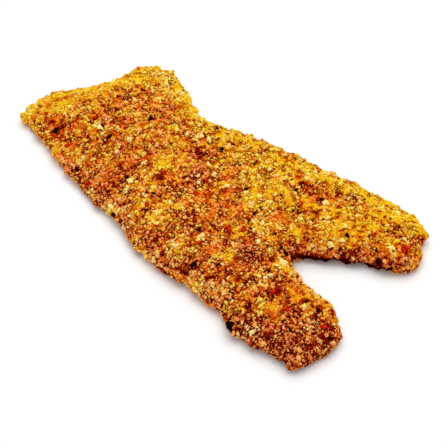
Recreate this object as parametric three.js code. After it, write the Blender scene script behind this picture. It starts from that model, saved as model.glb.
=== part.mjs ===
// A crumbed and fried butterfly fish fillet: one flat craggy slab that forks into two lobes.
//
// Millimetres, +Z up. +X runs along the fillet from the tail end to the fork, and +Y runs across
// it to the back edge. The origin lies under the middle of the fillet's box, on the surface that
// the fillet rests on.
//
// The flesh is a smooth slab with a crest along each muscle. The crust covers it in crumbs: each
// crumb is a low peak between pits. The slab's rounded edge is a few rings of vertices, and its
// top and underside are crumb fields that meet the innermost rings.

import * as THREE from "three";
import { ImprovedNoise } from "three/addons/math/ImprovedNoise.js";

// ---- Driving dimensions ----------------------------------------------------------------------

// The outline seen from above, anticlockwise from the crotch of the fork.
const OUTLINE = [
  // crotch and the inner edge of the flap lobe
  [59.5, -2.5], [67.5, 4], [76.5, 11], [90, 18.5],
  // blunt end of the flap lobe
  [98, 23], [98.5, 31.5], [94.5, 38.5], [90.5, 45.5], [83, 50],
  // back edge, which dips where the flap meets the loin
  [68, 51.5], [45, 50], [36, 47], [16, 45], [-8, 40.5], [-26, 35], [-38, 35], [-51, 41.5],
  // tail end, cut off askew
  [-65, 48.3], [-77.5, 49], [-86, 42], [-87, 27], [-89, 16], [-96.5, 5], [-101, -5],
  [-102.5, -20.5], [-99, -27],
  // front edge
  [-84, -27.5], [-60, -34], [-38, -38.5], [-12, -41.5], [2, -46], [20, -47.8], [53, -47.6],
  // round end of the loin lobe
  [66, -52.5], [86, -50], [97, -48.8], [101.5, -40.5], [102, -30.5], [96, -20],
  // inner edge of the loin lobe, back to the crotch
  [84, -14], [70, -12], [61, -8],
];

// The crest of each muscle, as [x, y, height], with the half-width over which it falls away. The
// flap is the thinner muscle, and it falls from the loin's foot all the way to the back edge.
const LOIN = {
  line: [[-94, 6, 9], [-42, 4, 12.4], [8, -8, 13], [56, -28, 12], [94, -34, 8.4]],
  spread: 32,
};
const FLAP = {
  line: [[-38, 30, 10.4], [14, 16, 11.2], [60, 18, 10.8], [92, 32, 8.6]],
  spread: 38,
};
const CREST_FALL = 0.3; // share of a crest's height that is gone at its spread
const CREST_BLEND = 0.8; // rounds the valley where two crests meet

const RIM_HEIGHT = 3.6; // height of the edge's outermost line
const TOP_ROUND = 9; // how far in from the edge the top keeps rising
const UNDER_ROUND = 5; // how far in from the edge the underside keeps falling

const RING_STEP = 2.2; // spacing of vertices along the edge
const TOP_RINGS = [28, 54]; // angles of the rings over the rim, in degrees round the edge
const UNDER_RINGS = [34, 66];
const TOP_CRUMB = 3.05; // least spacing of the crumbs on the top
const UNDER_CRUMB = 5;
const RING_GAP = 1.6; // clear space between the innermost ring and the first crumbs

const SWELL = { size: 32, depth: 0.9 }; // broad unevenness of the top
const LUMP = { size: 10, depth: 0.75 }; // lumps where the crust is thick
const EDGE_LUMP = { size: 7, depth: 0.9 }; // unevenness of the outline
const CRUMB_PEAK = [0.2, 1.15]; // how far a crumb stands out, least and most
const CRUMB_PIT = [0.1, 0.6]; // how deep the pits between crumbs are
const PEAK_SHARE = 0.4; // share of the edge's vertices that are crumbs, and not pits
const RIM_SHIFT = 0.6; // how far a vertex of the edge lies off its even place along it
const CRUMB_SHIFT = 0.55; // how far a crumb's peak lies off its middle
const UNDER_PIT = { size: 9, depth: 1.1 }; // hollows in the underside
const REST_SPOT = { x: 4, y: -8, radius: 9 }; // the underside is flat here

const SEED = 7;
const OUTLINE_STEPS = 900; // straight steps that stand for the outline when distances are measured
const THROWS_PER_CRUMB = 30; // tries for each crumb's place, which leaves no room for one more
const NOISE_GAIN = 1.6; // brings the noise to about -1 to 1

// ---- Helpers ---------------------------------------------------------------------------------

const { degToRad, lerp, clamp, seededRandom } = THREE.MathUtils;
const perlin = new ImprovedNoise();

seededRandom(SEED);
const between = ([low, high]) => lerp(low, high, seededRandom());
const eitherWay = (most) => between([-most, most]);

// Smooth noise with features of a given size; the layer keeps one use apart from another.
const noise = (x, y, size, layer) => NOISE_GAIN * perlin.noise(x / size, y / size, layer + 0.5);

const outlineCurve = new THREE.CatmullRomCurve3(
  OUTLINE.map(([x, y]) => new THREE.Vector3(x, y, 0)),
  true,
  "centripetal",
);
const outlineSteps = outlineCurve.getSpacedPoints(OUTLINE_STEPS).slice(0, -1);

// Whether a point lies inside a closed ring of points.
function isInside(x, y, ring) {
  let inside = false;
  ring.forEach((a, i) => {
    const b = ring[(i + 1) % ring.length];
    if (a.y > y !== b.y > y && x < a.x + ((y - a.y) / (b.y - a.y)) * (b.x - a.x)) inside = !inside;
  });
  return inside;
}

// Distance from a point to the outline, positive inside it.
function inset(x, y) {
  const nearest = Math.min(...outlineSteps.map((step) => Math.hypot(step.x - x, step.y - y)));
  return isInside(x, y, outlineSteps) ? nearest : -nearest;
}

// ---- Flesh: the smooth slab ------------------------------------------------------------------

// Height that one crest gives a point: the height along its line, less the fall to the side.
function crestHeight({ line, spread }, x, y) {
  let best = { distance: Infinity, height: 0 };
  for (let i = 1; i < line.length; i++) {
    const [ax, ay, aHeight] = line[i - 1];
    const [bx, by, bHeight] = line[i];
    const along = ((x - ax) * (bx - ax) + (y - ay) * (by - ay)) / ((bx - ax) ** 2 + (by - ay) ** 2);
    const t = clamp(along, 0, 1);
    const distance = Math.hypot(x - lerp(ax, bx, t), y - lerp(ay, by, t));
    if (distance < best.distance) best = { distance, height: lerp(aHeight, bHeight, t) };
  }
  return best.height * (1 - CREST_FALL * (best.distance / spread) ** 2);
}

// Height of the slab away from its edges: the higher crest, with the valley between them rounded.
function crownHeight(x, y) {
  const [loin, flap] = [LOIN, FLAP].map((crest) => crestHeight(crest, x, y));
  const crest = (loin + flap + Math.hypot(loin - flap, CREST_BLEND)) / 2;
  return crest + SWELL.depth * noise(x, y, SWELL.size, 1) + LUMP.depth * noise(x, y, LUMP.size, 2);
}

// Share of the full height at a distance in from the edge, as a quarter of an ellipse.
const roundOff = (distance, reach) => Math.sqrt(1 - (1 - clamp(distance / reach, 0, 1)) ** 2);

const topHeight = (x, y, distance) =>
  lerp(RIM_HEIGHT, crownHeight(x, y), roundOff(distance, TOP_ROUND));
const underHeight = (distance) => RIM_HEIGHT * (1 - roundOff(distance, UNDER_ROUND));

// ---- Edge: rings of vertices round the rim ---------------------------------------------------

const vertices = [];
const triangles = [];
const addVertex = (x, y, z) => vertices.push([x, y, z]) - 1;

const ringCount = 2 * Math.round(outlineCurve.getLength() / RING_STEP / 2);
const rim = Array.from({ length: ringCount }, (_, i) => {
  const point = outlineCurve.getPointAt(i / ringCount);
  const along = outlineCurve.getTangentAt(i / ringCount);
  const lump = EDGE_LUMP.depth * noise(point.x, point.y, EDGE_LUMP.size, 3);
  return { x: point.x, y: point.y, outX: along.y, outY: -along.x, lump };
});

// How far in from the edge a ring at an angle lies, where the rounding has a given reach.
const ringInset = (degrees, reach) => reach * (1 - Math.cos(degToRad(degrees)));

// A ring at an angle round the edge, from -90 under it to 90 over it, with crumbs at random.
function addRing(degrees) {
  const over = degrees >= 0;
  const angle = degToRad(Math.abs(degrees));
  const distance = ringInset(degrees, over ? TOP_ROUND : UNDER_ROUND);
  return rim.map(({ x, y, outX, outY, lump }) => {
    const peak = seededRandom() < PEAK_SHARE;
    const bump = peak ? between(CRUMB_PEAK) : -between(CRUMB_PIT);
    const shift = eitherWay(RIM_SHIFT);
    const out = (lump + bump) * Math.cos(angle) - distance;
    const px = x + outX * out - outY * shift;
    const py = y + outY * out + outX * shift;
    const height = over ? topHeight(px, py, distance) : underHeight(distance);
    const lift = bump * Math.sin(angle) * (over ? 1 : -1);
    return addVertex(px, py, Math.max(0, height + lift));
  });
}

// Joins two rings, the lower one first, with the diagonals turned by turn.
function joinRings(lower, upper) {
  lower.forEach((a, i) => {
    const next = (i + 1) % lower.length;
    const [b, c, d] = [lower[next], upper[next], upper[i]];
    if (i % 2 === 0) triangles.push([a, b, d], [b, c, d]);
    else triangles.push([a, b, c], [a, c, d]);
  });
}

const rings = [...UNDER_RINGS.map((angle) => -angle).reverse(), 0, ...TOP_RINGS].map(addRing);
for (let i = 1; i < rings.length; i++) joinRings(rings[i - 1], rings[i]);

// ---- Crumb fields: the top and the underside -------------------------------------------------

// Crumb middles, thrown at random over the slab and kept where they are clear of the others.
function scatterCrumbs(spacing, leastInset) {
  const placed = [];
  const { min, max } = new THREE.Box2().setFromPoints(outlineSteps);
  const throws = (THROWS_PER_CRUMB * (max.x - min.x) * (max.y - min.y)) / spacing ** 2;
  for (let i = 0; i < throws; i++) {
    const x = between([min.x, max.x]);
    const y = between([min.y, max.y]);
    const clear = placed.every((crumb) => Math.hypot(crumb.x - x, crumb.y - y) >= spacing);
    if (!clear) continue;
    const depth = inset(x, y);
    if (depth >= leastInset) placed.push({ x, y, depth });
  }
  return placed;
}

// Circle through three points, as its centre and squared radius.
function circumcircle(a, b, c) {
  const [bx, by, cx, cy] = [b.x - a.x, b.y - a.y, c.x - a.x, c.y - a.y];
  const twiceCross = 2 * (bx * cy - by * cx);
  const bb = bx * bx + by * by;
  const cc = cx * cx + cy * cy;
  const ux = (cy * bb - by * cc) / twiceCross;
  const uy = (bx * cc - cx * bb) / twiceCross;
  return { x: a.x + ux, y: a.y + uy, radius2: ux * ux + uy * uy };
}

// Delaunay triangles of points in the plane, anticlockwise, by adding one point at a time to a
// triangle that is large enough to hold them all.
function delaunay(points) {
  const far = 1e4;
  const all = [...points, { x: -far, y: -far }, { x: far, y: -far }, { x: 0, y: far }];
  const make = (i, j, k) => ({ corners: [i, j, k], ...circumcircle(all[i], all[j], all[k]) });
  let made = [make(points.length, points.length + 1, points.length + 2)];
  points.forEach((p, i) => {
    const open = new Map(); // edges of the hole that the new point makes
    made = made.filter((t) => {
      if ((p.x - t.x) ** 2 + (p.y - t.y) ** 2 >= t.radius2) return true;
      t.corners.forEach((from, k) => {
        const to = t.corners[(k + 1) % 3];
        if (!open.delete(`${to},${from}`)) open.set(`${from},${to}`, [from, to]);
      });
      return false;
    });
    for (const [from, to] of open.values()) made.push(make(from, to, i));
  });
  return made.map((t) => t.corners).filter((corners) => corners.every((i) => i < points.length));
}

// Fills the inside of a ring with crumbs. Each triangle between crumb middles gets a pit, and
// the triangles then run from each crumb's peak to the pits round it.
function fillRing(ring, crumbs, peakVertex, pitVertex, facing) {
  const ringPoints = ring.map((v) => ({ x: vertices[v][0], y: vertices[v][1] }));
  const points = [...ringPoints, ...crumbs];
  const index = [...ring, ...crumbs.map(peakVertex)];
  const emit = (a, b, c) => triangles.push(facing > 0 ? [a, b, c] : [a, c, b]);
  const pitAcross = new Map(); // the pit on the left of each edge between two crumbs
  for (const corners of delaunay(points)) {
    const x = corners.reduce((sum, i) => sum + points[i].x, 0) / 3;
    const y = corners.reduce((sum, i) => sum + points[i].y, 0) / 3;
    const onRing = corners.every((i) => i < ring.length);
    if (onRing && !isInside(x, y, ringPoints)) continue;
    const pit = pitVertex(x, y);
    corners.forEach((from, k) => pitAcross.set(`${from},${corners[(k + 1) % 3]}`, pit));
  }
  for (const [edge, pit] of pitAcross) {
    const [from, to] = edge.split(",").map(Number);
    const other = pitAcross.get(`${to},${from}`);
    if (other === undefined) emit(index[from], index[to], pit);
    else if (from < to) {
      emit(index[from], other, pit);
      emit(index[to], pit, other);
    }
  }
}

function addTop(ring, leastInset) {
  const peak = ({ x, y, depth }) => {
    const height = topHeight(x, y, depth) + between(CRUMB_PEAK);
    return addVertex(x + eitherWay(CRUMB_SHIFT), y + eitherWay(CRUMB_SHIFT), height);
  };
  const pit = (x, y) => addVertex(x, y, topHeight(x, y, inset(x, y)) - between(CRUMB_PIT));
  fillRing(ring, scatterCrumbs(TOP_CRUMB, leastInset), peak, pit, 1);
}

// Depth of the underside's hollows, which fade out towards the flat spot.
function hollowDepth(x, y) {
  const off = Math.hypot(x - REST_SPOT.x, y - REST_SPOT.y) / REST_SPOT.radius - 1;
  return UNDER_PIT.depth * clamp(off, 0, 1) * Math.max(0, noise(x, y, UNDER_PIT.size, 4));
}

function addUnderside(ring, leastInset) {
  const peak = ({ x, y, depth }) => addVertex(x, y, underHeight(depth) + hollowDepth(x, y) / 2);
  const pit = (x, y) => addVertex(x, y, underHeight(inset(x, y)) + hollowDepth(x, y));
  fillRing(ring, scatterCrumbs(UNDER_CRUMB, leastInset), peak, pit, -1);
}

const clearOf = (degrees, reach) => ringInset(degrees, reach) + RING_GAP;
addTop(rings.at(-1), clearOf(TOP_RINGS.at(-1), TOP_ROUND));
addUnderside(rings[0], clearOf(UNDER_RINGS.at(-1), UNDER_ROUND));

// ---- The part --------------------------------------------------------------------------------

const geometry = new THREE.BufferGeometry();
geometry.setAttribute("position", new THREE.Float32BufferAttribute(vertices.flat(), 3));
geometry.setIndex(triangles.flat());
geometry.computeBoundingBox();
const middle = geometry.boundingBox.getCenter(new THREE.Vector3());
geometry.translate(-middle.x, -middle.y, -geometry.boundingBox.min.z);
geometry.computeVertexNormals();

const friedCrust = new THREE.MeshStandardMaterial({ color: 0xc97a24, roughness: 0.75, metalness: 0 });
const fillet = new THREE.Mesh(geometry, friedCrust);
fillet.name = "fish_fillet";

const part = new THREE.Group();
part.add(fillet);

export default part;
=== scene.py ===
"""A crumbed and fried fish fillet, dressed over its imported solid.

The solid gives the form. A skin of fried batter follows it, a little below its surface, and
breadcrumbs of several kinds cover the batter all round, from nearly black flecks to pale straw.
Everything random is seeded. Lengths are in metres, and MM turns millimetres into them.
"""

import math

import bmesh
import bpy
import numpy as np
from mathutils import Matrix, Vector, noise
from mathutils.bvhtree import BVHTree


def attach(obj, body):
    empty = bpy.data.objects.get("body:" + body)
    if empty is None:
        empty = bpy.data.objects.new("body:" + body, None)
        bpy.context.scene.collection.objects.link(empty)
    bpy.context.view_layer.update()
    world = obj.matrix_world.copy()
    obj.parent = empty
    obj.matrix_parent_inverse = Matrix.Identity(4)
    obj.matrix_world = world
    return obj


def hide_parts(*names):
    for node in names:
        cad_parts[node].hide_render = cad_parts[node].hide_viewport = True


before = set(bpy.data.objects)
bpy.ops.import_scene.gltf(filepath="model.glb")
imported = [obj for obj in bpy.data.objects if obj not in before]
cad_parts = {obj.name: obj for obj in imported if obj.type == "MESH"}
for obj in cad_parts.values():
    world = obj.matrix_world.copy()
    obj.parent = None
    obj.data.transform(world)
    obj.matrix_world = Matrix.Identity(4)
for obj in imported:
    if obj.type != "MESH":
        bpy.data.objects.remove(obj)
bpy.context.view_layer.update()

# ---- Named values ------------------------------------------------------------------------------

MM = 0.001
SEED = 11

# The camera, and how the photograph's pixels lie in its frame.
PHOTO_PIXELS = 447  # across, and down
VIEW_AZIMUTH, VIEW_ELEVATION = 43.75, 44.75  # degrees
VIEW_TARGET = Vector((21.8, -10.35, 4.5)) * MM
VIEW_SPAN = 196.3 * MM  # what the frame takes in across, at the target
LENS, SENSOR = 100.0, 36.0
NEAREST, FARTHEST = 0.01, 20.0  # what the camera sees between
EDGE_HEIGHT = 2.5 * MM  # where lines of sight that pass the fillet's edge are taken to pass it

# The batter: a skin below the crumbs, with relief of its own.
BATTER_VOXEL = 0.72 * MM
BATTER_SOFTEN, BATTER_SOFTEN_STEPS = 0.5, 4
BATTER_DEPTH = 0.45 * MM  # how far it lies below the solid's surface
BATTER_LUMPS = [(5.0 * MM, 0.40 * MM), (2.2 * MM, 0.35 * MM)]  # size and depth of its relief
BATTER_CELLS = (2.6 * MM, 0.45 * MM)  # the same of the rounded cells that lie over it
BATTER_FLOOR_GAP = BATTER_DEPTH / 4  # how far its underside stays off the floor

# Noise: how far apart its layers lie, and the first layer of each use, so that no two share one.
NOISE_SHIFT = (17.3, 5.1)
RELIEF_NOISE, TONE_NOISE, WARMTH_NOISE, BARE_NOISE, DRY_NOISE = 0, 30, 50, 70, 90
TINY = 1e-12  # taken as the square of a step's length where a route has only one point

# Where the edge swells out or draws in, more than on the solid: photo pixel, half width and how
# far out, in millimetres.
BULGES = [
    (150, 65, 6.0, 1.8),
    (177, 79, 5.0, 1.8),
    (192, 100, 3.0, 1.4),
    (299, 157, 4.0, 0.9),
    (62, 90, 4.0, 1.5),
    (56, 157, 4.0, 1.0),
    (73, 177, 4.0, 0.9),
    (92, 203, 4.0, 1.0),
    (111, 217, 5.0, 0.8),
    (135, 249, 5.0, 1.0),
    (168, 277, 4.0, 0.7),
    (203, 294, 4.0, 1.2),
    (234, 335, 4.0, 1.0),
    (252, 346, 5.0, 1.0),
    (287, 367, 3.0, 1.7),
    (336, 310, 5.0, 1.9),
    (341, 337, 4.0, 2.0),
    (331, 347, 3.0, 1.2),
    (302, 282, 4.0, 0.7),
    (427, 238, 3.0, 2.3),
    (384, 269, 5.0, 1.6),
    (26, 125, 4.0, -2.5),
    (38, 140, 4.0, -0.6),
    (101, 83, 4.0, -1.8),
    (220, 126, 4.0, -1.5),
    (319, 360, 5.0, -2.1),
    (403, 272, 4.0, -1.3),
    (423, 258, 2.5, -0.9),
    (310, 259, 6.0, -0.3),
    (345, 262, 6.0, 0.5),
    (385, 199, 3.0, -1.1),
    (318, 295, 3.0, -0.6),
]

# Crumb sizes, each with the spacing that they are thrown at, how much paler such crumbs are, and
# how far up the surface has to face for them to stick: 1 is straight up, and -1 takes in all.
CLUMP = {"size": (2.0 * MM, 3.0 * MM), "spacing": 8.0 * MM, "paler": 0.06, "least_up": 0.5}
LARGE = {"size": (1.7 * MM, 2.4 * MM), "spacing": 4.2 * MM, "paler": 0.02, "least_up": 0.3}
MIDDLE = {"size": (1.0 * MM, 1.9 * MM), "spacing": 1.58 * MM, "paler": 0.0, "least_up": -1}
FINE = {"size": (0.55 * MM, 1.0 * MM), "spacing": 1.3 * MM, "paler": -0.03, "least_up": -1}
TRIES = 6  # points thrown for each place that may be kept
LOBES, LOBE_REACH = 4, 0.5  # a crumb swells in so many directions, by up to this share
LOBE_POWER = 3  # how narrow each swelling is
LOBE_MEAN = LOBES / (2 * (LOBE_POWER + 1))  # what they add on average, which is taken off again
CHIPS, FINE_CHIPS = 0.30, 0.18  # how unevenly the corners of a small and a large crumb stand out
SHARP_ANGLE = 36  # degrees; edges that turn more than this aren't smoothed
FINE_BALL_FROM = 1.9 * MM  # larger crumbs than this get more corners
CRUMB_WIDTH, CRUMB_THICKNESS = (0.5, 1.0), (0.4, 0.75)  # as shares of its length
CRUMB_TILT = 0.4  # how much they lean, as the spread of their upright's direction
CRUMB_LIFT = (-0.24, 0.12)  # how far its middle stands off the batter, as a share of its size
RIM_SINK = 0.10  # how much less it does on the fillet's rim
CLUMP_BITS = 6  # crumbs that make up a clump: a core, and smaller ones round it
CLUMP_CORE, CLUMP_BIT_SIZE = 0.9, (0.3, 0.55)  # their sizes, as shares of the clump's
CLUMP_BIT_REACH, CLUMP_BIT_LIFT = 0.26, 0.25  # how far the small ones lie off, across and up
MARK_CLEARING = 0.75  # how far other crumbs keep from one that is placed, in its sizes
FLOOR_GAP = (0.02 * MM, 0.22 * MM)  # crumbs underneath are pressed flat this far off the floor
BARE_CLOUDS = [(7 * MM, 1.0), (3 * MM, 0.5)]  # places where fewer crumbs stick
BARE_START, BARE_END = 0.24, 0.70  # the noise there at which crumbs begin to miss, and all do
UNDER_SHARE = 0.45  # of the crumbs thrown underneath, how many stay
UNDER_SLOPE = -0.5  # how far up the surface faces, at most, where that is so

# How well fried each crumb is: 0 is burnt and 1 is hardly coloured. Warmth takes it from yellow
# at 0 to red at 1, and to that of chilli at 2.
TONE_CLOUDS = [(14 * MM, 0.02), (7 * MM, 0.05), (3.5 * MM, 0.14), (1.7 * MM, 0.23)]
WARMTH_CLOUDS = [(16 * MM, 0.06), (6 * MM, 0.60), (3.2 * MM, 1.10)]
WARMTH_BY_TONE = 1.0  # how much redder a place gets as it gets darker
CRUMB_TONE, CRUMB_SPREAD, CRUMB_SHARE = 0.558, 0.09, 0.85  # the share is of its place's own tone
CRUMB_WARMTH, CRUMB_WARMTH_SPREAD = 0.53, 0.16
CRUMB_PAINTED_SHADE, MARK_PAINTED_SHADE = 0.22, 0.08  # painted light and shade: how much paler a crumb's top is than its middle, and darker its base
BATTER_TONE, BATTER_WARMTH = 0.34, 0.66
BATTER_LEAST, BATTER_MOST = 0.13, 0.57  # the darkest and palest tones that it gets
BATTER_BLACK_BELOW = -0.5  # where its place is paler by less than this, as on the painted shade along the flap's lower rim, it may turn black instead
BATTER_PAINTED_SHADE, BATTER_SHADE_REDDENING = 0.30, 0.10  # painted light and shade: how much paler, and less red, its lumps are than its hollows
BARE_PALER, BARE_REDDER = 0.17, -0.22  # what the batter gets where no crumbs cover it
# Dryness takes the colour from that of oily, glowing crust at 0 to dull tan at 1.
DRY_CLOUDS = [(12 * MM, 0.10), (4 * MM, 0.42), (1.8 * MM, 0.42)]
DRY_DARKER, BATTER_DRY_DARKER = 0.12, 0.22  # how much darker dry places are; the batter, more
CRUMB_DRY, CRUMB_DRY_SPREAD, BATTER_DRY = 0.05, 0.24, -0.1
# Each kind of crumb: the upper end of its tones, and its slot in the record.
KINDS = {
    # the darkest: burnt crumbs, and those painted black as shade by the flap's lower rim and in the
    # notch
    "burnt_and_shaded_crumbs": (0.12, "burnt_crumb"),
    "brown_crumbs": (0.36, "brown_crumb"),
    "amber_crumbs": (0.50, "golden_crumb"),
    "golden_crumbs": (0.60, "golden_crumb"),
    "straw_crumbs": (0.76, "pale_crumb"),
    "pale_crumbs": (math.inf, "pale_crumb"),
}

# Large patches that were fried paler or darker than the rest, and some of painted light and shade.
# Each follows a route over the photograph: (route, half width, how much paler, redder, barer of
# crumbs, and drier).
UPPER_EDGE = [
    (26, 112), (45, 100), (75, 90), (105, 85), (135, 73), (150, 67), (170, 71), (184, 87),
    (193, 107), (204, 118), (225, 128), (260, 140), (300, 155), (350, 178), (400, 205), (424, 232),
]
CORNER_AND_DIP = [(128, 80), (152, 72), (178, 86), (188, 104), (215, 134), (248, 144), (275, 158)]
PATCHES = [
    # painted light: yellower along the upper edge, which the lamp behind lights
    (UPPER_EDGE, 3 * MM, 0.0, -0.9, 0.2, -0.4),
    # painted light: the same, a little in from the upper edge
    (CORNER_AND_DIP, 6 * MM, 0.0, -1.0, 0.2, 0.0),
    ([(30, 112), (98, 92), (128, 80)], 5 * MM, -0.15, -0.4, 0.1, -1.0),  # back of the tail
    ([(300, 168), (345, 186), (380, 206), (416, 228)], 5 * MM, 0.0, -1.0, 0.2, -0.4),  # back of the flap: painted light, yellower where the lamp behind lights its upper edge
    ([(268, 185), (310, 205), (360, 222), (400, 238)], 18 * MM, -0.02, -0.2, 0.2, 0.0),  # flap
    ([(110, 165), (150, 195), (205, 240), (250, 290)], 20 * MM, 0.02, 0.0, 0.0, 0.2),  # loin
    ([(243, 158), (250, 188), (262, 205), (262, 225)], 6 * MM, 0.05, -0.5, 0.0, 0.1),  # crease
    ([(262, 338), (295, 352), (325, 340)], 9 * MM, 0.0, 0.8, 0.0, 1.0),  # end of the loin lobe
    ([(288, 285), (296, 300)], 9 * MM, 0.05, 0.0, 0.2, 0.1),  # its inner side
    ([(70, 170), (112, 215), (170, 268), (215, 300)], 6 * MM, 0.08, 0.3, 0.0, 0.4),  # front edge
    ([(292, 254), (340, 256), (385, 262), (410, 262)], 4 * MM, 0.1, 0.8, 0.0, 0.5),  # flap, inside
    ([(284, 251), (289, 257)], 0.6 * MM, -2.5, 0.2, 2.0, 0.0),  # its lower rim: painted shade, black where its underside is in shadow
    ([(292, 258), (305, 259), (345, 263)], 1.3 * MM, -2.5, 0.2, 2.0, 0.0),
    ([(345, 262), (368, 265), (390, 270)], 0.9 * MM, -2.5, 0.2, 1.5, 0.0),
    ([(125, 98)], 8 * MM, 0.0, 0.3, 0.0, 0.2),  # reddish, on the tail
    ([(108, 185), (120, 174)], 6 * MM, -0.1, 0.6, 0.0, 0.0),  # by the front edge
]
# Small patches, by what they look like: how much paler, redder and drier, and the photo pixel
# and half width in millimetres of each.
SPOTS = {
    "red": ((-0.05, 0.8, 0.1), [
        (55, 130, 5), (70, 170, 4), (160, 177, 4), (170, 108, 5), (232, 190, 5), (238, 208, 5),
        (155, 238, 5), (316, 192, 5), (275, 290, 4), (404, 249, 3), (421, 235, 4),
    ]),
    "dark": ((-0.2, 0.4, 0.1), [
        (180, 135, 2.5), (211, 278, 2.5), (192, 270, 2.5), (140, 227, 2.5), (298, 340, 2.5),
        (386, 259, 2.5),
    ]),
    "dull": ((-0.07, 0.2, 0.3), [
        (120, 222, 5), (190, 178, 5), (197, 222, 5), (345, 198, 5), (297, 320, 6), (327, 339, 3),
        (108, 198, 4), (255, 257, 5),
    ]),
    "dry": ((0.05, 0.2, 1.0), [(200, 155, 4), (200, 178, 5), (247, 250, 6), (235, 325, 5)]),
    "amber": ((-0.05, -0.4, -0.7), [
        (170, 163, 6), (228, 252, 4), (368, 220, 7), (392, 248, 5), (270, 311, 5),
    ]),
    "yellow": ((0.1, -0.5, -0.2), [
        (30, 108, 4), (54, 153, 4), (82, 162, 5), (154, 212, 6), (175, 248, 5), (194, 288, 5),
        (202, 213, 4), (250, 200, 5), (286, 187, 6), (335, 222, 6), (256, 341, 5), (305, 335, 5),
    ]),
    "pale": ((0.2, -0.6, 0.0), [
        (166, 75, 4), (110, 212, 5), (140, 186, 5), (185, 96, 6), (150, 259, 4), (228, 135, 5),
        (262, 226, 4), (282, 264, 4), (263, 280, 2.5), (231, 162, 2.5),
    ]),
}
# Places where the smooth batter shows: photo pixel and radius.
BARE_MARKS = [
    ((232, 259), 3.0 * MM),
    ((292, 292), 3.5 * MM),
    ((163, 165), 3.0 * MM),
    ((190, 202), 2.6 * MM),
    ((205, 222), 3.0 * MM),
    ((68, 147), 2.5 * MM),
    ((108, 160), 2.2 * MM),
    ((178, 178), 2.2 * MM),
    ((232, 145), 2.6 * MM),
    ((272, 307), 2.6 * MM),
]
# Crumbs that stand out: tone, hue as (warmth, dryness), and the photo pixel and size in
# millimetres of each.
MARKS = {
    "burnt": (-0.2, (0.5, 0.2), [
        (231, 327, 4.7), (56, 132, 3.6), (110, 137, 2.1), (151, 119, 2.8), (222, 150, 3.0),
        # (281, 248) and (286, 254) are painted shade, black in the crotch of the notch
        (246, 189, 1.9), (260, 208, 1.8), (254, 213, 1.8), (275, 234, 1.9), (281, 248, 2.2),
        (286, 254, 2.0), (301, 185, 1.7), (296, 190, 1.6), (193, 265, 2.8), (218, 265, 2.4),
        (199, 230, 2.2), (251, 229, 1.8), (250, 304, 2.0), (306, 302, 2.4), (318, 310, 1.8),
        (272, 281, 2.1), (268, 272, 1.9), (329, 338, 2.3), (322, 199, 1.9), (348, 236, 2.4),
        (399, 227, 1.9), (365, 200, 1.5), (376, 250, 2.4), (379, 262, 2.8), (391, 219, 1.5),
        (153, 193, 2.0), (127, 177, 2.3), (77, 170, 2.6), (113, 214, 2.0), (217, 128, 1.8),
    ]),
    "dark red": (0.14, (0.95, 0.0), [
        (103, 107, 2.6), (116, 110, 2.0), (118, 97, 2.0), (198, 153, 3.2), (161, 177, 4.0),
        (143, 90, 2.2), (213, 226, 2.4), (184, 178, 2.0), (157, 240, 2.8), (185, 272, 2.8),
        (326, 341, 3.6), (267, 336, 3.2), (118, 186, 2.4), (162, 254, 2.4), (339, 195, 2.6),
    ]),
    "chilli": (0.42, (2.0, 0.0), [
        (404, 249, 3.8), (88, 183, 2.6), (147, 205, 2.2), (275, 291, 3.6), (324, 328, 3.0),
        (94, 118, 2.6), (229, 229, 2.4), (244, 231, 2.4), (199, 243, 3.0), (286, 310, 2.8),
        (164, 174, 3.0), (67, 146, 2.6), (152, 142, 2.2), (208, 182, 2.2), (196, 194, 2.2),
    ]),
    "pale": (0.88, (0.1, 0.35), [
        (99, 128, 3.0), (131, 182, 3.2), (146, 196, 2.8), (112, 208, 3.2), (120, 210, 2.4),
        (201, 137, 3.6), (209, 140, 2.8), (229, 146, 2.6), (227, 186, 3.0), (174, 246, 3.4),
        (201, 236, 3.4), (284, 264, 3.8), (271, 277, 3.2), (304, 307, 2.4), (253, 332, 3.2),
        (325, 203, 3.2), (345, 227, 3.4), (357, 216, 2.2), (404, 239, 2.8), (391, 249, 3.0),
        (342, 241, 2.6), (331, 245, 3.2), (277, 226, 2.4), (166, 85, 2.8), (270, 170, 2.2),
        (315, 172, 2.6), (187, 135, 2.4), (183, 94, 2.8), (83, 158, 3.0), (214, 174, 2.6),
    ]),
}

# The colour of each tone, as sRGB: where the frying left it yellow and where red, the same where
# it is dry, and that of chilli.
YELLOW_TONES = [
    (0.00, (28, 4, 2)),
    (0.15, (106, 10, 0)),
    (0.32, (171, 66, 1)),
    (0.48, (218, 142, 8)),
    (0.62, (241, 197, 25)),
    (0.78, (251, 226, 66)),
    (1.00, (255, 240, 152)),
]
RED_TONES = [
    (0.00, (18, 2, 1)),
    (0.15, (94, 1, 0)),
    (0.32, (156, 24, 1)),
    (0.48, (208, 81, 8)),
    (0.62, (238, 120, 18)),
    (0.78, (250, 162, 52)),
    (1.00, (254, 198, 120)),
]
DRY_YELLOW_TONES = [
    (0.00, (24, 3, 1)),
    (0.15, (104, 9, 1)),
    (0.32, (168, 67, 12)),
    (0.48, (213, 137, 58)),
    (0.62, (241, 189, 102)),
    (0.78, (252, 222, 138)),
    (1.00, (255, 240, 192)),
]
DRY_RED_TONES = [
    (0.00, (20, 2, 1)),
    (0.15, (96, 3, 1)),
    (0.32, (157, 35, 6)),
    (0.48, (207, 101, 39)),
    (0.62, (236, 143, 68)),
    (0.78, (248, 189, 113)),
    (1.00, (255, 214, 164)),
]
CHILLI_TONES = [
    (0.00, (40, 2, 1)),
    (0.30, (170, 14, 4)),
    (0.60, (226, 44, 18)),
    (1.00, (250, 130, 70)),
]

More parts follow.
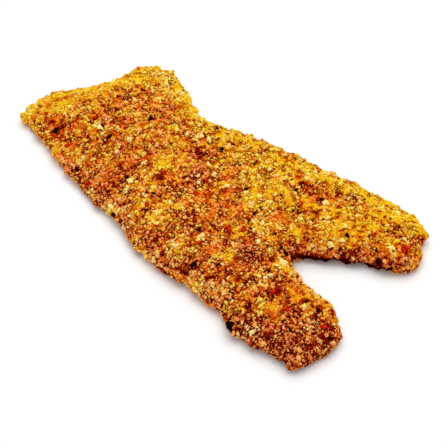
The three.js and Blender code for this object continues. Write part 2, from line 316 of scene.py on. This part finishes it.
# The surfaces: their shine, the size of specks and how much they change the tone, and the depth
# of the grain.
BATTER_SURFACE = {"gloss": 0.0, "speck_size": 0.9 * MM, "speck_strength": 0.22, "grain": 0.4 * MM}
CRUMB_SURFACE = {"gloss": 0.01, "speck_size": 0.6 * MM, "speck_strength": 0.30, "grain": 0.2 * MM}
BURNT_AND_SHADED_SURFACE = {**CRUMB_SURFACE, "speck_strength": 0.04}
SPECK_DETAIL, SPECK_ROUGHNESS = 3.0, 0.6
SPECK_NOISE = (0.3, 0.7)  # the noise at which specks, and roughness with them, reach their limits
ROUGHNESS = (0.55, 0.75)
GRAIN_STRENGTH = 0.6

# The studio: a wide floor, a soft lamp behind the fillet, another in front, and light all round.
FLOOR_HALF, FLOOR_COLOUR, FLOOR_ROUGHNESS = 3.0, (250, 250, 250), 0.9
KEY = {"azimuth": 205, "elevation": 70, "watts": 7.2, "size": 1.1}
FILL = {"azimuth": 20, "elevation": 60, "watts": 1.0, "size": 0.8}
LAMP_DISTANCE = 1.0
SKY_STRENGTH = 0.58

# The export's map, which is 1 across: the part of it for each side of the batter, the edge left
# free there, and how many of its half widths the square is across that a crumb gets.
BAKE_HALF, BAKE_MARGIN, BAKE_SQUARE = 0.5, 0.01, 2.4


# ---- Helpers -----------------------------------------------------------------------------------


def linear(colour):
    """An sRGB colour of 0 to 255 as the linear RGBA that Blender's sockets hold."""
    shares = [c / 255 for c in colour]
    return (*[c / 12.92 if c <= 0.04045 else ((c + 0.055) / 1.055) ** 2.4 for c in shares], 1.0)


def unit(vectors):
    return vectors / np.linalg.norm(vectors, axis=-1, keepdims=True)


def smooth_noise(points, size, layer):
    """Smooth noise of about -1 to 1, with features of a given size. Each layer is another one."""
    shift = Vector((layer * NOISE_SHIFT[0], layer * NOISE_SHIFT[1], 0))
    return np.array([noise.noise(Vector(p) / size + shift) for p in points])


def clouds(points, layers, first):
    """A sum of noise layers, each with its size and strength, that varies over the points."""
    return sum(
        strength * smooth_noise(points, size, first + layer)
        for layer, (size, strength) in enumerate(layers)
    )


def cell_noise(points, size):
    """Rises from 0 at the middle of each rounded cell of a given size to about 1 at its edges."""
    return np.array([noise.voronoi(Vector(p) / size)[0][0] for p in points])


def read(items, name, width=3):
    """A row of numbers for each vertex, or whatever the items are."""
    found = np.empty(len(items) * width, np.float32)
    items.foreach_get(name, found)
    return found.reshape(-1, width).astype(float)


def link(name, data):
    made = bpy.data.objects.new(name, data)
    bpy.context.scene.collection.objects.link(made)
    return made


def add_values(mesh, name, values):
    """Keeps one number for each vertex, which the materials read by this name."""
    mesh.attributes.new(name, "FLOAT", "POINT").data.foreach_set("value", values.astype(np.float32))


def add_bake_map(mesh, places):
    """Lays the mesh out flat for an export's textures: places has a point of it for each vertex."""
    corners = np.empty(len(mesh.loops), np.int32)
    mesh.loops.foreach_get("vertex_index", corners)
    layer = mesh.uv_layers.new(name="OFBake")
    layer.uv.foreach_set("vector", places[corners].astype(np.float32).ravel())


# ---- Camera ------------------------------------------------------------------------------------


def facing(azimuth, elevation):
    """The direction from the object to a camera or lamp at these angles, in degrees."""
    a, e = math.radians(azimuth), math.radians(elevation)
    return Vector((math.sin(a) * math.cos(e), -math.cos(a) * math.cos(e), math.sin(e)))


def make_camera():
    camera = link("camera", bpy.data.cameras.new("camera"))
    camera.data.lens, camera.data.sensor_width = LENS, SENSOR
    back = facing(VIEW_AZIMUTH, VIEW_ELEVATION)
    camera.location = VIEW_TARGET + back * (VIEW_SPAN * LENS / SENSOR)
    camera.rotation_mode = "QUATERNION"
    camera.rotation_quaternion = (-back).to_track_quat("-Z", "Y")
    camera.data.clip_start, camera.data.clip_end = NEAREST, FARTHEST
    bpy.context.scene.camera = camera
    bpy.context.view_layer.update()
    return camera


def spot_at(camera, surface, pixel):
    """The point of a surface that shows at a pixel of the photograph, and its normal."""
    across = (pixel[0] / PHOTO_PIXELS - 0.5) * SENSOR / LENS
    down = (pixel[1] / PHOTO_PIXELS - 0.5) * SENSOR / LENS
    sight = camera.matrix_world.to_3x3() @ Vector((across, -down, -1))
    spot, normal, _, _ = surface.ray_cast(camera.location, sight.normalized())
    if spot is None:  # just past the edge: the place of the edge nearest to the line of sight
        passing = camera.location + sight * ((EDGE_HEIGHT - camera.location.z) / sight.z)
        spot, normal, _, _ = surface.find_nearest(passing)
    return np.array(spot), np.array(normal)


# ---- Batter ------------------------------------------------------------------------------------


def bulge(points, normals, camera, surface):
    """Moves the skin sideways, out or in, near the places of the outline that BULGES has."""
    sideways = normals * (1, 1, 0)
    for across, down, radius, out in BULGES:
        place, _ = spot_at(camera, surface, (across, down))
        points += sideways * (out * MM * nearness(points, [place], radius * MM))[:, None]


def even_skin(node):
    """A piece in the solid's form, with even, dense and softened faces."""
    piece = link("batter", node.data.copy())
    even = piece.modifiers.new("even", "REMESH")
    even.mode, even.voxel_size = "VOXEL", BATTER_VOXEL
    soften = piece.modifiers.new("soften", "SMOOTH")
    soften.factor, soften.iterations = BATTER_SOFTEN, BATTER_SOFTEN_STEPS
    evaluated = piece.evaluated_get(bpy.context.evaluated_depsgraph_get())
    piece.modifiers.clear()
    piece.data = bpy.data.meshes.new_from_object(evaluated)
    piece.data.shade_smooth()
    return piece


def make_batter(node, camera):
    """The skin with the rounded relief of fried batter, and how high that is at each vertex."""
    piece = even_skin(node)
    mesh = piece.data
    points = read(mesh.vertices, "co")
    normals = read(mesh.vertex_normals, "vector")
    surface = BVHTree.FromObject(piece, bpy.context.evaluated_depsgraph_get())
    bulge(points, normals, camera, surface)
    cell_size, cell_depth = BATTER_CELLS
    relief = clouds(points, BATTER_LUMPS, RELIEF_NOISE)
    relief += cell_depth * (0.5 - cell_noise(points, cell_size))
    points += normals * (relief - BATTER_DEPTH)[:, None]
    points[:, 2] = np.maximum(points[:, 2], BATTER_FLOOR_GAP)
    mesh.vertices.foreach_set("co", points.astype(np.float32).ravel())
    mesh.update()
    return piece, relief / cell_depth


def lay_out_batter(mesh):
    """Puts the batter's upper side over its lower side on the export's map."""
    points, normals = read(mesh.vertices, "co"), read(mesh.vertex_normals, "vector")
    low, high = points.min(0), points.max(0)
    scale = (BAKE_HALF - 2 * BAKE_MARGIN) / (high[1] - low[1])
    places = (points[:, :2] - low[:2]) * scale + BAKE_MARGIN
    places[:, 1] += np.where(normals[:, 2] > 0, BAKE_HALF, 0.0)
    add_bake_map(mesh, places)


# ---- Tones -------------------------------------------------------------------------------------


def nearness(points, route, radius):
    """1 on a route, which falls smoothly to almost nothing at two radii from it."""
    gaps = []
    for start, end in zip(route, route[1:] or route):
        run = end - start
        share = np.clip((points - start) @ run / max(run @ run, TINY), 0, 1)
        gaps.append(np.linalg.norm(points - start - share[:, None] * run, axis=1))
    return np.exp(-((np.min(gaps, axis=0) / radius) ** 2))


def lay_patches(camera, surface):
    """The patches, small ones too, with each route as points on the surface."""
    small = [
        ([(across, down)], radius * MM, paler, redder, 0.0, drier)
        for (paler, redder, drier), spots in SPOTS.values()
        for across, down, radius in spots
    ]
    return [
        ([spot_at(camera, surface, pixel)[0] for pixel in route], radius, *changes)
        for route, radius, *changes in PATCHES + small
    ]


def frying_at(points, patches):
    """How much paler, redder, barer and drier than the whole each place is."""
    changes = np.zeros((4, len(points)))
    changes[0] = clouds(points, TONE_CLOUDS, TONE_NOISE)
    changes[1] = clouds(points, WARMTH_CLOUDS, WARMTH_NOISE)
    changes[3] = clouds(points, DRY_CLOUDS, DRY_NOISE)
    for route, radius, *strengths in patches:
        changes += np.array(strengths)[:, None] * nearness(points, route, radius)
    paler, redder, barer, drier = changes
    paler = paler - DRY_DARKER * drier
    return paler, redder - WARMTH_BY_TONE * paler, barer, drier


def bareness(points, barer, spots):
    """The share of crumbs that miss at each place: by chance, and in spots of (place, radius)."""
    share = clouds(points, BARE_CLOUDS, BARE_NOISE) + barer
    share = np.clip((share - BARE_START) / (BARE_END - BARE_START), 0, 1)
    for place, radius in spots:
        share = np.maximum(share, nearness(points, [place], radius))
    return share


def fry_batter(batter, relief, patches, bare_spots):
    """Keeps the batter's frying values: painted shade, dark red in its hollows; golden where it is
    bare.
    """
    points = read(batter.data.vertices, "co")
    paler, redder, barer, drier = frying_at(points, patches)
    bare = bareness(points, barer, bare_spots)
    # painted shade: darker and redder in the batter's hollows, paler and less red on its lumps
    tones = BATTER_TONE + paler + BATTER_PAINTED_SHADE * relief + BARE_PALER * bare
    tones -= BATTER_DRY_DARKER * drier
    warmths = BATTER_WARMTH + redder - BATTER_SHADE_REDDENING * relief + BARE_REDDER * bare
    least = np.where(paler < BATTER_BLACK_BELOW, 0.0, BATTER_LEAST)
    add_values(batter.data, "tone", np.clip(tones, least, BATTER_MOST))
    add_values(batter.data, "warmth", np.clip(warmths, 0, 1))
    add_values(batter.data, "dryness", np.clip(BATTER_DRY + drier, 0, 1))


# ---- Crumbs ------------------------------------------------------------------------------------


def scatter(mesh, spacing, draw):
    """Points spread over a mesh, one to each cube of the spacing, with their normals."""
    mesh.calc_loop_triangles()
    index = np.empty(len(mesh.loop_triangles) * 3, np.int32)
    mesh.loop_triangles.foreach_get("vertices", index)
    index = index.reshape(-1, 3)
    points, normals = read(mesh.vertices, "co"), read(mesh.vertex_normals, "vector")
    a, b, c = points[index].transpose(1, 0, 2)
    area = np.linalg.norm(np.cross(b - a, c - a), axis=1) / 2
    throws = int(TRIES * area.sum() / spacing**2)
    face = draw.choice(len(area), throws, p=area / area.sum())
    weights = draw.dirichlet((1, 1, 1), throws)[:, :, None]
    thrown = (points[index[face]] * weights).sum(1)
    lean = unit((normals[index[face]] * weights).sum(1))
    cubes = np.floor(thrown / spacing).astype(int)
    kept = np.unique(cubes, axis=0, return_index=True)[1]
    return thrown[kept], lean[kept]


def stuck(points, normals, bare, spots, draw):
    """Which crumbs stick: fewer where it is bare or underneath, and few on the spots of marks."""
    missing = np.maximum(bare, np.where(normals[:, 2] < UNDER_SLOPE, 1 - UNDER_SHARE, 0))
    for place, radius in spots:
        missing = np.maximum(missing, nearness(points, [place], radius))
    return draw.uniform(size=len(points)) > missing


def ball(subdivisions):
    """Corners and triangles of a unit ball with 20 triangles, or 80 where it is divided twice."""
    made = bmesh.new()
    bmesh.ops.create_icosphere(made, subdivisions=subdivisions, radius=1)
    corners = np.array([v.co for v in made.verts])
    triangles = np.array([[v.index for v in f.verts] for f in made.faces])
    made.free()
    return corners, triangles


def crumb_axes(normals, draw):
    """Three axes for each crumb that lies on a normal: turned at random and tilted a little."""
    up = unit(normals + draw.normal(0, CRUMB_TILT, normals.shape))
    side = unit(np.cross(up, draw.normal(size=normals.shape)))
    return np.stack([side, np.cross(up, side), up], axis=1)


def shape_crumbs(points, normals, sizes, corners, chips, draw):
    """Corners of each crumb, a lumpy ball laid on the batter, and how high in it each one is."""
    count = len(points)
    lobes = unit(draw.normal(size=(count, LOBES, 3))).transpose(0, 2, 1)
    swell = (np.clip(corners @ lobes, 0, 1) ** LOBE_POWER).sum(2, keepdims=True) - LOBE_MEAN
    radius = 1 + LOBE_REACH * swell + draw.uniform(-chips, chips, swell.shape)
    width, thickness = draw.uniform(*CRUMB_WIDTH, count), draw.uniform(*CRUMB_THICKNESS, count)
    shares = np.stack([np.ones(count), width, thickness], 1)[:, None]
    local = (corners * radius * shares) @ crumb_axes(normals, draw)
    height = (local * normals[:, None]).sum(2)
    lift = draw.uniform(*CRUMB_LIFT, count) - RIM_SINK * (1 - np.abs(normals[:, 2]))
    middles = points + normals * (lift * sizes)[:, None]
    placed = local * sizes[:, None, None] / 2 + middles[:, None]
    floor = draw.uniform(*FLOOR_GAP, (count, 1))
    placed[:, :, 2] = np.maximum(placed[:, :, 2], floor)
    return placed, height


def split_clumps(surface, points, normals, sizes, draw):
    """The places, normals and sizes of the crumbs that each clump is made of, and its number."""
    number = np.repeat(np.arange(len(points)), CLUMP_BITS)
    reach = draw.normal(0, CLUMP_BIT_REACH, (len(number), 3)) * sizes[number, None]
    bits = sizes[number] * draw.uniform(*CLUMP_BIT_SIZE, len(number))
    lift = draw.uniform(0, CLUMP_BIT_LIFT, len(number)) * sizes[number]
    reach[::CLUMP_BITS], bits[::CLUMP_BITS] = 0, sizes * CLUMP_CORE
    places = [surface.find_nearest(place)[0] for place in points[number] + reach]
    return places + normals[number] * lift[:, None], normals[number], bits, number


def lay_out_crumbs(places, number, across):
    """The crumbs' corners on the export's map, each crumb in a square of its own by its number."""
    spread = (places - places.mean(1, keepdims=True))[:, :, :2]
    spread /= np.abs(spread).max(axis=(1, 2), keepdims=True) * BAKE_SQUARE
    square = np.stack([number % across, number // across], 1)[:, None] + 0.5
    return ((spread + square) / across).reshape(-1, 2)


def triangle_mesh(name, places, faces):
    """A mesh of triangles, smoothed except over its sharp edges."""
    mesh = bpy.data.meshes.new(name)
    mesh.vertices.add(len(places))
    mesh.vertices.foreach_set("co", places.astype(np.float32).ravel())
    mesh.loops.add(faces.size)
    mesh.loops.foreach_set("vertex_index", faces.astype(np.int32).ravel())
    mesh.polygons.add(len(faces))
    mesh.polygons.foreach_set("loop_start", np.arange(0, faces.size, 3, dtype=np.int32))
    mesh.update(calc_edges=True)
    mesh.shade_smooth()
    mesh.set_sharp_from_angle(angle=math.radians(SHARP_ANGLE))
    return mesh


def crumb_mesh(name, batches):
    """One mesh of many crumbs. A batch has the corners and triangles of some, and their frying."""
    across = math.ceil(math.sqrt(sum(len(places) for places, *_ in batches)))
    parts, first, done = [], 0, 0
    for places, triangles, tones, hues in batches:
        count, each = places.shape[:2]
        faces = first + each * np.arange(count)[:, None, None] + triangles
        flat = lay_out_crumbs(places, done + np.arange(count), across)
        hues = np.repeat(hues, each, axis=0)
        parts.append((places.reshape(-1, 3), faces.reshape(-1, 3), tones.ravel(), hues, flat))
        first += count * each
        done += count
    places, faces, tones, hues, flat = (np.concatenate(column) for column in zip(*parts))
    mesh = triangle_mesh(name, places, faces)
    add_values(mesh, "tone", np.clip(tones, 0, 1))
    add_values(mesh, "warmth", hues[:, 0])
    add_values(mesh, "dryness", np.clip(hues[:, 1], 0, 1))
    add_bake_map(mesh, flat)
    return mesh


def mark_crumbs(camera, surface):
    """The place, normal, size, tone and hue of each crumb that stands out in the photograph."""
    found = []
    for tone, hue, marks in MARKS.values():
        for across, down, size in marks:
            place, normal = spot_at(camera, surface, (across, down))
            found.append((place, normal, size * MM, tone, hue))
    return [np.array(column) for column in zip(*found)]


def fry_crumbs(frying, sort_paler, draw):
    """The tone and the hue of each crumb: its place's and its sort's, with a spread of its own."""
    paler, redder, _, drier = frying
    count = len(paler)
    tones = CRUMB_TONE + sort_paler + CRUMB_SHARE * paler + draw.normal(0, CRUMB_SPREAD, count)
    warmths = CRUMB_WARMTH + redder + draw.normal(0, CRUMB_WARMTH_SPREAD, count)
    dryness = CRUMB_DRY + drier + draw.normal(0, CRUMB_DRY_SPREAD, count)
    return tones, np.stack([np.clip(warmths, 0, 1), dryness], axis=1)


def add_crumbs(batches, points, normals, sizes, tones, hues, painted_shade, draw):
    """Shapes crumbs, small ones first, and adds each to the batches of its kind."""
    for is_large, chips, subdivisions in ((False, CHIPS, 1), (True, FINE_CHIPS, 2)):
        corners, triangles = ball(subdivisions)
        least = -math.inf
        for name, (most, _) in KINDS.items():
            mine = (tones >= least) & (tones < most) & ((sizes > FINE_BALL_FROM) == is_large)
            laid = (points[mine], normals[mine], sizes[mine])
            places, height = shape_crumbs(*laid, corners, chips, draw)
            # painted light and shade: paler towards the crumb's top, darker towards its base
            tone = tones[mine, None] + painted_shade * height
            batches[name].append((places, triangles, tone, hues[mine]))
            least = most


def make_crumbs(batter, surface, camera, patches, bare_spots, draw):
    """All crumbs, sorted into kinds by how well they are fried. Returns a piece for each kind."""
    batches = {name: [] for name in KINDS}
    places, normals, sizes, tones, hues = mark_crumbs(camera, surface)
    spots = [(place, MARK_CLEARING * size) for place, size in zip(places, sizes)]
    places, normals, sizes, number = split_clumps(surface, places, normals, sizes, draw)
    add_crumbs(batches, places, normals, sizes, tones[number], hues[number], MARK_PAINTED_SHADE, draw)

    for sort in (CLUMP, LARGE, MIDDLE, FINE):
        points, normals = scatter(batter.data, sort["spacing"], draw)
        frying = frying_at(points, patches)
        bare = bareness(points, frying[2], bare_spots)
        keep = stuck(points, normals, bare, spots, draw) & (normals[:, 2] > sort["least_up"])
        points, normals = points[keep], normals[keep]
        sizes = draw.uniform(*sort["size"], len(points))
        tones, hues = fry_crumbs([change[keep] for change in frying], sort["paler"], draw)
        if sort is CLUMP:
            points, normals, sizes, number = split_clumps(surface, points, normals, sizes, draw)
            tones, hues = tones[number], hues[number]
        add_crumbs(batches, points, normals, sizes, tones, hues, CRUMB_PAINTED_SHADE, draw)
    return {name: link(name, crumb_mesh(name, batch)) for name, batch in batches.items()}


# ---- Materials ---------------------------------------------------------------------------------


def new_node(tree, kind, **values):
    """Adds a shader node. A value goes to the property of its name, or else to that socket."""
    made = tree.nodes.new(kind)
    for name, value in values.items():
        if hasattr(made, name):
            setattr(made, name, value)
        else:
            made.inputs[name.replace("_", " ")].default_value = value
    return made


def kept_value(tree, name):
    """A number that the mesh keeps for each vertex."""
    return new_node(tree, "ShaderNodeAttribute", attribute_name=name).outputs["Fac"]


def arithmetic(tree, operation, first, second):
    """The result for an output and either another output or a number."""
    made = new_node(tree, "ShaderNodeMath", operation=operation)
    tree.links.new(first, made.inputs[0])
    if isinstance(second, float):
        made.inputs[1].default_value = second
    else:
        tree.links.new(second, made.inputs[1])
    return made.outputs["Value"]


def swing(tree, specks, low, high):
    """A value that goes from low to high with the noise of the specks."""
    made = new_node(
        tree,
        "ShaderNodeMapRange",
        From_Min=SPECK_NOISE[0],
        From_Max=SPECK_NOISE[1],
        To_Min=low,
        To_Max=high,
    )
    tree.links.new(specks, made.inputs["Value"])
    return made.outputs["Result"]


def colour_ramp(tree, tones, tone):
    """The colour that a ramp of tones gives for a tone."""
    made = new_node(tree, "ShaderNodeValToRGB")
    elements = made.color_ramp.elements
    while len(elements) < len(tones):
        elements.new(0.5)
    for element, (position, _) in zip(elements, tones):
        element.position = position
    for element, (_, colour) in zip(elements, tones):
        element.color = linear(colour)
    tree.links.new(tone, made.inputs["Fac"])
    return made.outputs["Color"]


def blend(tree, first, second, share):
    """The colour that a share of the way from the first to the second gives."""
    mix = new_node(tree, "ShaderNodeMix", data_type="RGBA")
    for output, name in ((first, "A"), (second, "B"), (share, "Factor")):
        tree.links.new(output, mix.inputs[name])
    return mix.outputs["Result"]


def fried_colour(tree, tone):
    """The colour for a tone, by the warmth and dryness that the mesh keeps."""
    warmth, dryness = kept_value(tree, "warmth"), kept_value(tree, "dryness")
    yellow, red, dry_yellow, dry_red, chilli = [
        colour_ramp(tree, tones, tone)
        for tones in (YELLOW_TONES, RED_TONES, DRY_YELLOW_TONES, DRY_RED_TONES, CHILLI_TONES)
    ]
    oily = blend(tree, yellow, red, warmth)
    dry = blend(tree, dry_yellow, dry_red, warmth)
    heat = arithmetic(tree, "SUBTRACT", warmth, 1.0)  # only chilli has any
    return blend(tree, blend(tree, oily, dry, dryness), chilli, heat)


def crumb_material(name, gloss, speck_size, speck_strength, grain):
    """Fried crumb: the colour of its tone, warmth and dryness, with specks and a grainy surface."""
    material = bpy.data.materials.new(name)
    material.use_nodes = True
    tree = material.node_tree
    wire = tree.links.new
    surface = tree.nodes["Principled BSDF"]
    surface.inputs["Specular IOR Level"].default_value = gloss

    place = new_node(tree, "ShaderNodeTexCoord")
    noise_node = new_node(
        tree,
        "ShaderNodeTexNoise",
        Scale=1 / speck_size,
        Detail=SPECK_DETAIL,
        Roughness=SPECK_ROUGHNESS,
    )
    wire(place.outputs["Object"], noise_node.inputs["Vector"])
    specks = noise_node.outputs["Fac"]
    speckle = swing(tree, specks, -speck_strength, speck_strength)
    tone = arithmetic(tree, "ADD", kept_value(tree, "tone"), speckle)
    wire(fried_colour(tree, tone), surface.inputs["Base Color"])
    wire(swing(tree, specks, *ROUGHNESS), surface.inputs["Roughness"])
    bump = new_node(tree, "ShaderNodeBump", Strength=GRAIN_STRENGTH, Distance=grain)
    wire(specks, bump.inputs["Height"])
    wire(bump.outputs["Normal"], surface.inputs["Normal"])
    return material


def plain_material(name, colour, roughness):
    material = bpy.data.materials.new(name)
    material.use_nodes = True
    surface = material.node_tree.nodes["Principled BSDF"]
    surface.inputs["Base Color"].default_value = linear(colour)
    surface.inputs["Roughness"].default_value = roughness
    return material


# ---- Studio ------------------------------------------------------------------------------------


def make_floor():
    half = FLOOR_HALF
    mesh = bpy.data.meshes.new("floor")
    corners = [(-half, -half, 0), (half, -half, 0), (half, half, 0), (-half, half, 0)]
    mesh.from_pydata(corners, [], [(0, 1, 2, 3)])
    mesh.materials.append(plain_material("floor", FLOOR_COLOUR, FLOOR_ROUGHNESS))
    link("floor", mesh)


def softbox(name, azimuth, elevation, watts, size):
    """A square lamp that faces the object from a direction."""
    lamp = link(name, bpy.data.lights.new(name, "AREA"))
    lamp.data.energy, lamp.data.size = watts, size
    towards = facing(azimuth, elevation)
    lamp.location = towards * LAMP_DISTANCE
    lamp.rotation_mode = "QUATERNION"
    lamp.rotation_quaternion = (-towards).to_track_quat("-Z", "Y")


def make_studio():
    make_floor()
    softbox("key", **KEY)
    softbox("fill", **FILL)
    world = bpy.data.worlds.new("world")
    world.use_nodes = True
    sky = world.node_tree.nodes["Background"]
    sky.inputs["Color"].default_value = (1, 1, 1, 1)
    sky.inputs["Strength"].default_value = SKY_STRENGTH
    bpy.context.scene.world = world
    bpy.context.scene.view_settings.view_transform = "Standard"


# ---- The scene ---------------------------------------------------------------------------------

draw = np.random.default_rng(SEED)
camera = make_camera()
make_studio()

batter, relief = make_batter(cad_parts["fish_fillet"], camera)
surface = BVHTree.FromObject(batter, bpy.context.evaluated_depsgraph_get())
patches = lay_patches(camera, surface)
bare_spots = [(spot_at(camera, surface, pixel)[0], radius) for pixel, radius in BARE_MARKS]
fry_batter(batter, relief, patches, bare_spots)
lay_out_batter(batter.data)
batter.data.materials.clear()
batter.data.materials.append(crumb_material("batter", **BATTER_SURFACE))
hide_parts("fish_fillet")
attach(batter, "root")

for name, piece in make_crumbs(batter, surface, camera, patches, bare_spots, draw).items():
    look = BURNT_AND_SHADED_SURFACE if name == "burnt_and_shaded_crumbs" else CRUMB_SURFACE
    piece.data.materials.append(crumb_material(name, **look))
    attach(piece, "root")
